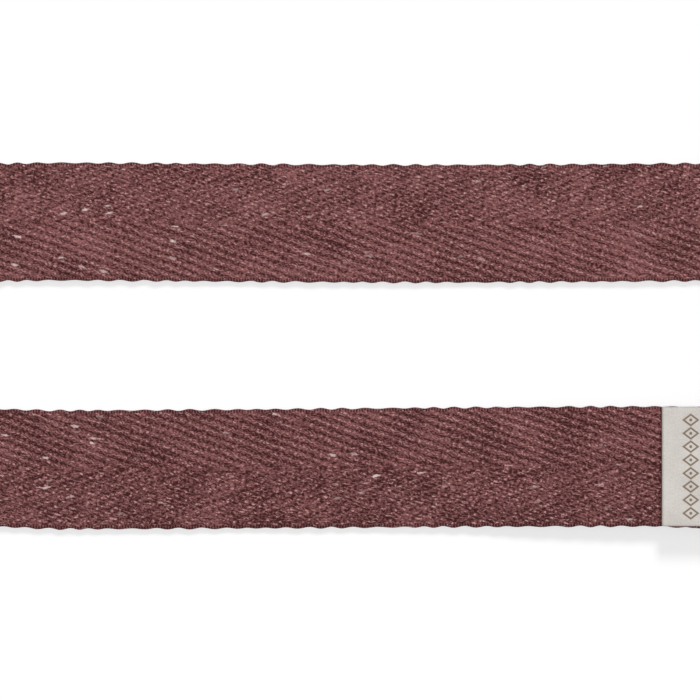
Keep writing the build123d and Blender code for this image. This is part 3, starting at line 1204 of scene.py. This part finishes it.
    def rows(self, stop: float, half: Half) -> np.ndarray:
        """Row distances, fine along the open runs and coarser in the folds, the leg and the loop.

        Args:
            stop: last distance.
            half: the strap's half.

        Returns:
            The distances, both ends included.
        """
        lay = self.layout
        probe = np.linspace(0.0, stop, 4000)
        x, z, _ = self.paths[half].at(probe)
        open_run = (x > lay.leg_x + self.fine_from) & (x < lay.label_front_x + self.fine_past)
        open_run &= z < lay.label_top * self.fine_height
        density = np.where(open_run, 3 / self.twill.pick, 2 / self.twill.pick)
        count = np.concatenate([[0.0], np.cumsum((density[1:] + density[:-1]) / 2 * np.diff(probe))])
        return np.interp(np.linspace(0.0, count[-1], int(count[-1]) + 1), count, probe)

    def rolled_rows(self) -> np.ndarray:
        """Row distances of the rolled end, fine on the turn that shows and coarser inside.

        Returns:
            The distances, both ends included.
        """
        path = self.paths[Half.UPPER]
        turn_end = float(path.poses[3, 0])
        outer = np.linspace(self.run_end, turn_end, int((turn_end - self.run_end) / (self.twill.pick / 3)))
        inner = np.linspace(turn_end, path.length, int((path.length - turn_end) / self.inner_step))
        return np.concatenate([outer, inner[1:]])

    def build(self) -> None:
        lay = self.layout
        end = self.twill.end
        flat = Section(lay.width, lay.thickness, end / 2, end)
        rolled = Section(lay.width, lay.thickness, 2 * end, end)
        lower_nodes = ("webbing_lower_run", "webbing_ring_loop", "webbing_lower_fold", "webbing_cross_leg")
        upper_nodes = ("webbing_upper_run", "webbing_upper_fold", "webbing_cross_leg")
        roll_nodes = ("webbing_roll", "webbing_hem")
        plans = [
            ("webbing_ring_end", Half.LOWER, self.rows(self.to_leg, Half.LOWER), flat, "laid", lower_nodes),
            ("webbing_plain_run", Half.UPPER, self.rows(self.run_end, Half.UPPER), flat, "laid", upper_nodes),
            ("webbing_rolled_end", Half.UPPER, self.rolled_rows(), rolled, "folded", roll_nodes),
        ]
        look = self.finish.material(self.twill.shader_group(), self.crease, self.to_leg)
        for name, half, s, section, held, nodes in plans:
            piece = self.sheet(name, s, section, half)
            declare(piece, "strap", nodes, look)
            float(s[-1] - s[0])


@dataclass
class Label:
    """Cream tab folded round the raw end of the tail, with a row of plain pressed lozenges."""

    layout: Layout
    middle_y: float
    finish: LabelFinish = LabelFinish()
    corner: float = 0.36 * MM  # of the neutral line
    nose: float = 0.30 * MM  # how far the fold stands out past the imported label
    trim: float = 0.992  # how much narrower than cut the tab has pulled in
    droop: float = 0.30 * MM  # how far the side edges are pressed down
    droop_power: int = 40
    step: float = 0.3 * MM
    mark_step: float = 0.13 * MM
    mark_from_front: float = 6.6 * MM
    mark_length: float = 4.6 * MM
    mark_count: int = 8
    mark_pitch: float = 4.3 * MM
    mark_width: float = 3.5 * MM
    mark_line: float = 0.52 * MM
    mark_dot: float = 0.9  # radius of the dot in a lozenge, in widths of its line
    mark_blur: float = 0.2 * MM
    mark_depth: float = 0.12 * MM

    def path(self) -> SidePath:
        """Neutral line from the open end over the top, down the front and back underneath.

        Returns:
            The tab's side view.
        """
        lay = self.layout
        half = lay.label_thickness / 2
        top = lay.label_top - half
        bottom = lay.seam_lift + lay.thickness + half
        front = lay.label_front_x + half - self.nose
        corners = [(lay.label_end_x, top), (front, top), (front, bottom), (lay.label_end_x, bottom)]
        return SidePath(corners[0], math.pi, rounded_stretches(corners, [self.corner, self.corner]))

    def marks(self, s: np.ndarray, v: np.ndarray) -> np.ndarray:
        """The pressed marks as a mask from 0 to 1.

        They are lozenge outlines in a row across the label, with a dot in each. A lozenge is where
        the way along over its half length and the way across over its half width add up to one.

        Args:
            s: distances from the open end of the label.
            v: distances across.

        Returns:
            1 in a mark and 0 outside, with soft edges.
        """
        lay = self.layout
        half_length, half_width = self.mark_length / 2, self.mark_width / 2
        x = lay.label_end_x - s - lay.label_front_x - self.mark_from_front - half_length
        offset = (self.mark_count - 1) / 2
        number = np.clip(np.round(v / self.mark_pitch + offset), 0, self.mark_count - 1)
        y = v - (number - offset) * self.mark_pitch
        scale = half_length * half_width / math.hypot(half_length, half_width)
        lozenge = np.abs(x) / half_length + np.abs(y) / half_width
        outline = np.abs(lozenge - 1) * scale - self.mark_line / 2
        dot = np.hypot(x, y) - self.mark_dot * self.mark_line
        return smooth_step(0.5 - np.minimum(outline, dot) / self.mark_blur)

    def rows(self, length: float) -> np.ndarray:
        """Row distances, close together where the marks are pressed.

        Args:
            length: of the tab's neutral line.

        Returns:
            The distances, both ends included.
        """
        lay = self.layout
        margin = 0.3 * MM
        stop = lay.label_end_x - lay.label_front_x - self.mark_from_front + margin
        start = stop - self.mark_length - 2 * margin
        parts = [
            np.arange(0.0, start, self.step),
            np.arange(start, stop, self.mark_step),
            np.linspace(stop, length, int((length - stop) / self.step)),
        ]
        return np.concatenate(parts)

    def section(self) -> tuple[np.ndarray, np.ndarray]:
        """Points round the tab's cross-section, close together on the face.

        Returns:
            v and n of each point.
        """
        lay = self.layout
        half = lay.label_thickness / 2
        side = lay.label_width / 2 - half
        across = np.linspace(side, -side, int(lay.label_width / self.mark_step))
        under = np.linspace(-side, side, int(lay.label_width / self.step / 2))
        angle = np.linspace(0, math.pi, 6)[1:-1]
        edge_v = side + half * np.sin(angle)
        edge_n = half * np.cos(angle)
        v = np.concatenate([across, -edge_v, under, edge_v[::-1]])
        n = np.concatenate([np.full(len(across), half), edge_n, np.full(len(under), -half), edge_n[::-1]])
        return v, n

    def build(self) -> None:
        """The marks are pressed into the face, and on the upper leaf the side edges droop by a high
        power of the way out.
        """
        lay = self.layout
        path = self.path()
        s = self.rows(path.length)[:, None]
        v, n = self.section()
        x, z, heading = path.at(s)
        on_face = n > lay.label_thickness / 2 * 0.99
        mark = self.marks(s, v) * on_face
        on_top = (heading > math.pi * 0.99) & (s < path.length / 2)
        edge = (np.abs(v) / (lay.label_width / 2)) ** self.droop_power
        height = n - self.mark_depth * mark - self.droop * edge * on_top
        y = self.middle_y - v * self.trim
        places = (x + np.sin(heading) * height, y, z - np.cos(heading) * height)
        piece = closed_tubes("label_tab", np.stack(np.broadcast_arrays(*places), axis=-1)[None])
        values = np.zeros(len(piece.data.vertices), dtype=np.float32)
        values[: mark.size] = mark.ravel()
        piece.data.attributes.new("mark", "FLOAT", "POINT").data.foreach_set("value", values)
        declare(piece, "strap", ("label",), self.finish.material())


@dataclass
class Rings:
    """The two D-rings, each a round wire whose bar turns in the webbing's loop."""

    layout: Layout
    finish: NickelFinish = NickelFinish()
    clearance: float = 1.0 * MM  # from the webbing's edge to the wire
    corner: float = 3.0 * MM
    leg_end: float = 8.0 * MM
    weld_height: float = 0.12 * MM
    weld_width: float = 0.9 * MM
    points_along: int = 360
    points_round: int = 28

    def __post_init__(self) -> None:
        """Take the wire's radius and the half width between its middle lines from the ring's width."""
        self.wire_radius = (self.layout.ring_width / 2 - self.layout.width / 2 - self.clearance) / 2
        self.half_width = self.layout.ring_width / 2 - self.wire_radius

    def centre_line(self) -> SidePath:
        """Closed line of the wire: the bar, a leg at each end and the half round bow.

        Returns:
            The line, from the middle of the bar.
        """
        leg = self.leg_end - self.corner
        bar = self.half_width - self.corner
        quarter = Stretch(self.corner * math.pi / 2, -math.pi / 2)
        stretches = [Stretch(bar), quarter, Stretch(leg), Stretch(self.half_width * math.pi, -math.pi)]
        stretches += [Stretch(leg), quarter, Stretch(bar)]
        return SidePath((0.0, 0.0), math.pi / 2, stretches)

    def wire(self, bar_z: float) -> np.ndarray:
        """Places on one ring's surface.

        The wire is a circle carried along the centre line, a little thicker where its ends are
        welded in the bar, and tilted about the bar so that the lower ring's bow comes down to the
        surface.

        Args:
            bar_z: height of the bar's centre line.

        Returns:
            Places in the shape rows, columns, 3.
        """
        lay = self.layout
        path = self.centre_line()
        s = np.linspace(0.0, path.length, self.points_along + 1)[:-1, None]
        x, y, heading = path.at(s)
        angle = np.linspace(TURN, 0.0, self.points_round + 1)[:-1]
        from_weld = np.minimum(s, path.length - s)
        radius = self.wire_radius + self.weld_height * np.exp(-((from_weld / self.weld_width) ** 2))
        out = radius * np.cos(angle)
        flat_x, flat_z = x + out * np.sin(heading), radius * np.sin(angle)
        tilt = math.asin((lay.lower_bar_z - self.wire_radius) / (self.leg_end + self.half_width))
        turned_x = flat_x * math.cos(tilt) + flat_z * math.sin(tilt)
        turned_z = flat_z * math.cos(tilt) - flat_x * math.sin(tilt)
        level_y = y - out * np.cos(heading) + lay.lower_y
        return np.stack([turned_x + lay.bar_x, level_y, turned_z + bar_z], axis=-1)

    def build(self) -> None:
        look = self.finish.material()
        for side, bar_z in (("lower", self.layout.lower_bar_z), ("upper", self.layout.upper_bar_z)):
            piece = closed_tubes(f"ring_{side}", self.wire(bar_z)[None], ring=True)
            declare(piece, f"{side}_ring", (f"{side}_d_ring",), look)


class Face(Enum):
    """Which side of the cloth a seam's floats lie on."""

    FACE = 1
    BACK = -1


@dataclass(frozen=True)
class Seat:
    """Where a row of stitches lies: X and Z of the cloth's surface and the way out of it."""

    x: float
    z: float
    out_x: float
    out_z: float


@dataclass
class Seams:
    """Lockstitch floats of the ring seam, about its own middle line, and of the hem."""

    layout: Layout
    webbing: Webbing
    ring_seam_y: float
    finish: ThreadFinish = ThreadFinish()
    radius: float = 0.35 * MM
    pressed_radius: float = 0.1 * MM  # between two turns of the roll
    pitch: float = 3.0 * MM
    float_length: float = 2.5 * MM
    edge_margin: float = 2.5 * MM
    row_margin: float = 1.6 * MM
    row_spacing: float = 2.8 * MM
    hem_margin: float = 5.0 * MM
    ply_bulge: float = 0.10
    ply_twist: float = 4.0  # radians from a float's middle to its end
    points_along: int = 13
    points_round: int = 10
    flatness: float = 0.8  # height of a float over its width
    rest_height: float = 0.45  # of a float's middle line, in radii
    dip: float = 0.75  # how much lower its ends lie, in radii

    def floats(self, seats: list[Seat], middle_y: float, radius: float) -> np.ndarray:
        """Rows of twisted floats across the strap.

        Each float is a slim closed spindle along Y. Its radius falls off with the fourth power of
        the way from its middle, two plies bulge it as they wind round, and its ends dip into the
        cloth by a share of its radius.

        Args:
            seats: one seat for each row.
            middle_y: middle line of the strap there.
            radius: of a float.

        Returns:
            Places in the shape floats, rows, columns, 3.
        """
        count = int((self.layout.width - 2 * self.edge_margin) / self.pitch)
        middles = middle_y + (np.arange(count) - (count - 1) / 2) * self.pitch
        t = np.linspace(-1.0, 1.0, self.points_along)[:, None]
        angle = np.linspace(0, TURN, self.points_round + 1)[:-1]
        plies = 1 + self.ply_bulge * np.cos(2 * (angle - self.ply_twist * t))
        size = radius * np.sqrt(np.clip(1.0 - t**4, 0.004, 1.0)) * plies
        side = size * np.cos(angle)
        rise = size * np.sin(angle) * self.flatness + radius * (self.rest_height - self.dip * t**4)
        spindles = []
        for seat in seats:
            x = seat.x + seat.out_x * rise - seat.out_z * side
            z = seat.z + seat.out_z * rise + seat.out_x * side
            for middle in middles:
                y = middle + t * self.float_length / 2
                spindles.append(np.stack(np.broadcast_arrays(x, y, z), axis=-1))
        return np.array(spindles)

    def ring_seats(self, face: Face) -> list[Seat]:
        """Seats of the ring seam's two rows, on the label or under the run.

        Args:
            face: FACE for the label's top.

        Returns:
            One seat for each row.
        """
        lay = self.layout
        height = lay.label_top if face is Face.FACE else lay.seam_lift
        last = lay.label_end_x - self.row_margin
        return [Seat(x, height, 0.0, float(face.value)) for x in (last - self.row_spacing, last)]

    def hem_seats(self, face: Face) -> list[Seat]:
        """Seats of the hem's two rows.

        The needle's side is the back of the flap, which faces the roll's core, and the bobbin's
        side is the back of the turn that the flap lies on, at the same angle.

        Args:
            face: FACE for the needle's side.

        Returns:
            One seat for each row.
        """
        path = self.webbing.paths[Half.UPPER]
        half = self.layout.thickness / 2
        flap_start, turn_end = float(path.poses[-2, 0]), float(path.poses[-3, 0])
        turn_share = abs(float(path.bends[-1]) / float(path.bends[-3]))
        seats = []
        for distance in (self.hem_margin, self.webbing.hem_flap - self.hem_margin):
            s = flap_start + distance if face is Face.FACE else turn_end - distance * turn_share
            x, z, heading = (float(value) for value in path.at(np.array(s)))
            out_x, out_z = math.sin(heading), -math.cos(heading)
            seats.append(Seat(x + half * out_x, z + half * out_z, out_x, out_z))
        return seats

    def build(self) -> None:
        ring_y, hem_y = self.ring_seam_y, self.layout.upper_y
        plans = [
            ("ring_seam_top", "ring_seam_needle_thread", self.ring_seats(Face.FACE), ring_y, self.radius),
            ("ring_seam_under", "ring_seam_bobbin_thread", self.ring_seats(Face.BACK), ring_y, self.radius),
            ("hem_seam_inside", "hem_needle_thread", self.hem_seats(Face.FACE), hem_y, self.radius),
            ("hem_seam_outside", "hem_bobbin_thread", self.hem_seats(Face.BACK), hem_y, self.pressed_radius),
        ]
        look = self.finish.material()
        for name, node, seats, middle_y, radius in plans:
            piece = closed_tubes(name, self.floats(seats, middle_y, radius))
            declare(piece, "strap", (node,), look)


# ---------------------------------------------------------------- studio


@dataclass(frozen=True)
class Lamp:
    """A distant soft lamp: where it stands in the sky, its apparent size and its strength."""

    name: str
    round_from_x: float  # degrees from +X towards +Y
    up: float  # degrees over the floor
    size: float  # degrees across
    strength: float

    def place(self) -> None:
        """Add the lamp to the scene."""
        lamp = bpy.data.lights.new(self.name, "SUN")
        lamp.energy = self.strength
        lamp.angle = math.radians(self.size)
        holder = bpy.data.objects.new(self.name, lamp)
        holder.rotation_euler = (math.radians(90 - self.up), 0.0, math.radians(self.round_from_x + 90))
        bpy.context.scene.collection.objects.link(holder)


@dataclass(frozen=True)
class Studio:
    """Pale floor, dim even sky, one soft lamp overhead, one from the side and the camera above."""

    field: float = 224.8 * MM  # width of what the camera sees
    camera_height: float = 2.0
    camera_y_offset: float = -1.56 * MM  # from the middle line between the runs
    sensor_width: float = 36.0  # in millimetres
    lamps: tuple[Lamp, ...] = (
        Lamp("overhead_lamp", 82.0, 90.0, 6.0, 2.25),
        Lamp("side_lamp", 82.0, 36.0, 16.0, 1.15),
    )
    sky_low: Colour = (0.10, 0.10, 0.10, 1.0)
    sky_high: Colour = (0.24, 0.24, 0.24, 1.0)
    paper_dim: Colour = (0.90, 0.90, 0.90, 1.0)
    paper_bright: Colour = (0.92, 0.92, 0.92, 1.0)
    floor_size: float = 3.0

    def floor(self) -> None:
        """A large pale matt floor at the height on which the strap lies."""
        half = self.floor_size / 2
        corners = [(-half, -half, 0.0), (half, -half, 0.0), (half, half, 0.0), (-half, half, 0.0)]
        mesh = bpy.data.meshes.new("studio_floor")
        mesh.from_pydata(corners, [], [[0, 1, 2, 3]])
        plane = bpy.data.objects.new("studio_floor", mesh)
        bpy.context.scene.collection.objects.link(plane)
        graph, shader, paper = start_material("studio_paper")
        cloud = graph.noise(graph.place(), 3.0, 2.0)
        graph.fill(shader, {
            "Base Color": graph.blend(cloud, self.paper_dim, self.paper_bright),
            "Roughness": 0.9,
            "Specular IOR Level": 0.1,
        })
        mesh.materials.append(paper)

    def light(self) -> None:
        """Both lamps, and a sky that is dimmer towards the horizon."""
        for lamp in self.lamps:
            lamp.place()
        world = bpy.data.worlds.new("studio_sky")
        world.use_nodes = True
        world.node_tree.nodes.clear()
        graph = Graph(world.node_tree)
        up = graph.parts(graph.node("ShaderNodeTexCoord").outputs["Generated"])[2]
        shade = graph.blend(up.ease(0.2, 0.95), self.sky_low, self.sky_high)
        background = graph.node("ShaderNodeBackground", {"Color": shade, "Strength": 1.0})
        graph.node("ShaderNodeOutputWorld", {"Surface": background.outputs[0]})
        bpy.context.scene.world = world

    def camera(self, layout: Layout, middle_x: float) -> None:
        """A long lens straight above, with +Y up in the picture.

        Args:
            layout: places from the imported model.
            middle_x: X that the lens looks down on.
        """
        lens = bpy.data.cameras.new("studio_camera")
        lens.sensor_width = self.sensor_width
        lens.lens = lens.sensor_width * self.camera_height / self.field
        lens.clip_start = 0.01
        lens.clip_end = 20.0
        view = bpy.data.objects.new("studio_camera", lens)
        middle_y = (layout.lower_y + layout.upper_y) / 2
        view.location = (middle_x, middle_y + self.camera_y_offset, self.camera_height + layout.thickness)
        bpy.context.scene.collection.objects.link(view)
        bpy.context.scene.camera = view
        settings = bpy.context.scene.view_settings
        settings.view_transform = "Standard"
        settings.look = "None"


def main() -> None:
    """Build the studio, and in it the strap with its label, rings and threads."""
    logging.basicConfig(level=logging.INFO, format="%(name)s: %(message)s")
    layout = Layout.from_frame()
    webbing = Webbing(layout, Twill(layout.width / 2))
    studio = Studio()
    studio.camera(layout, webbing.run_middle)
    studio.light()
    studio.floor()
    webbing.build()
    seam_y = layout.lower_y + float(webbing.bow(np.array(layout.label_end_x), Half.LOWER))
    Label(layout, seam_y).build()
    Rings(layout).build()
    Seams(layout, webbing, seam_y).build()
    bpy.context.view_layer.update()


if __name__ == "__main__":
    main()
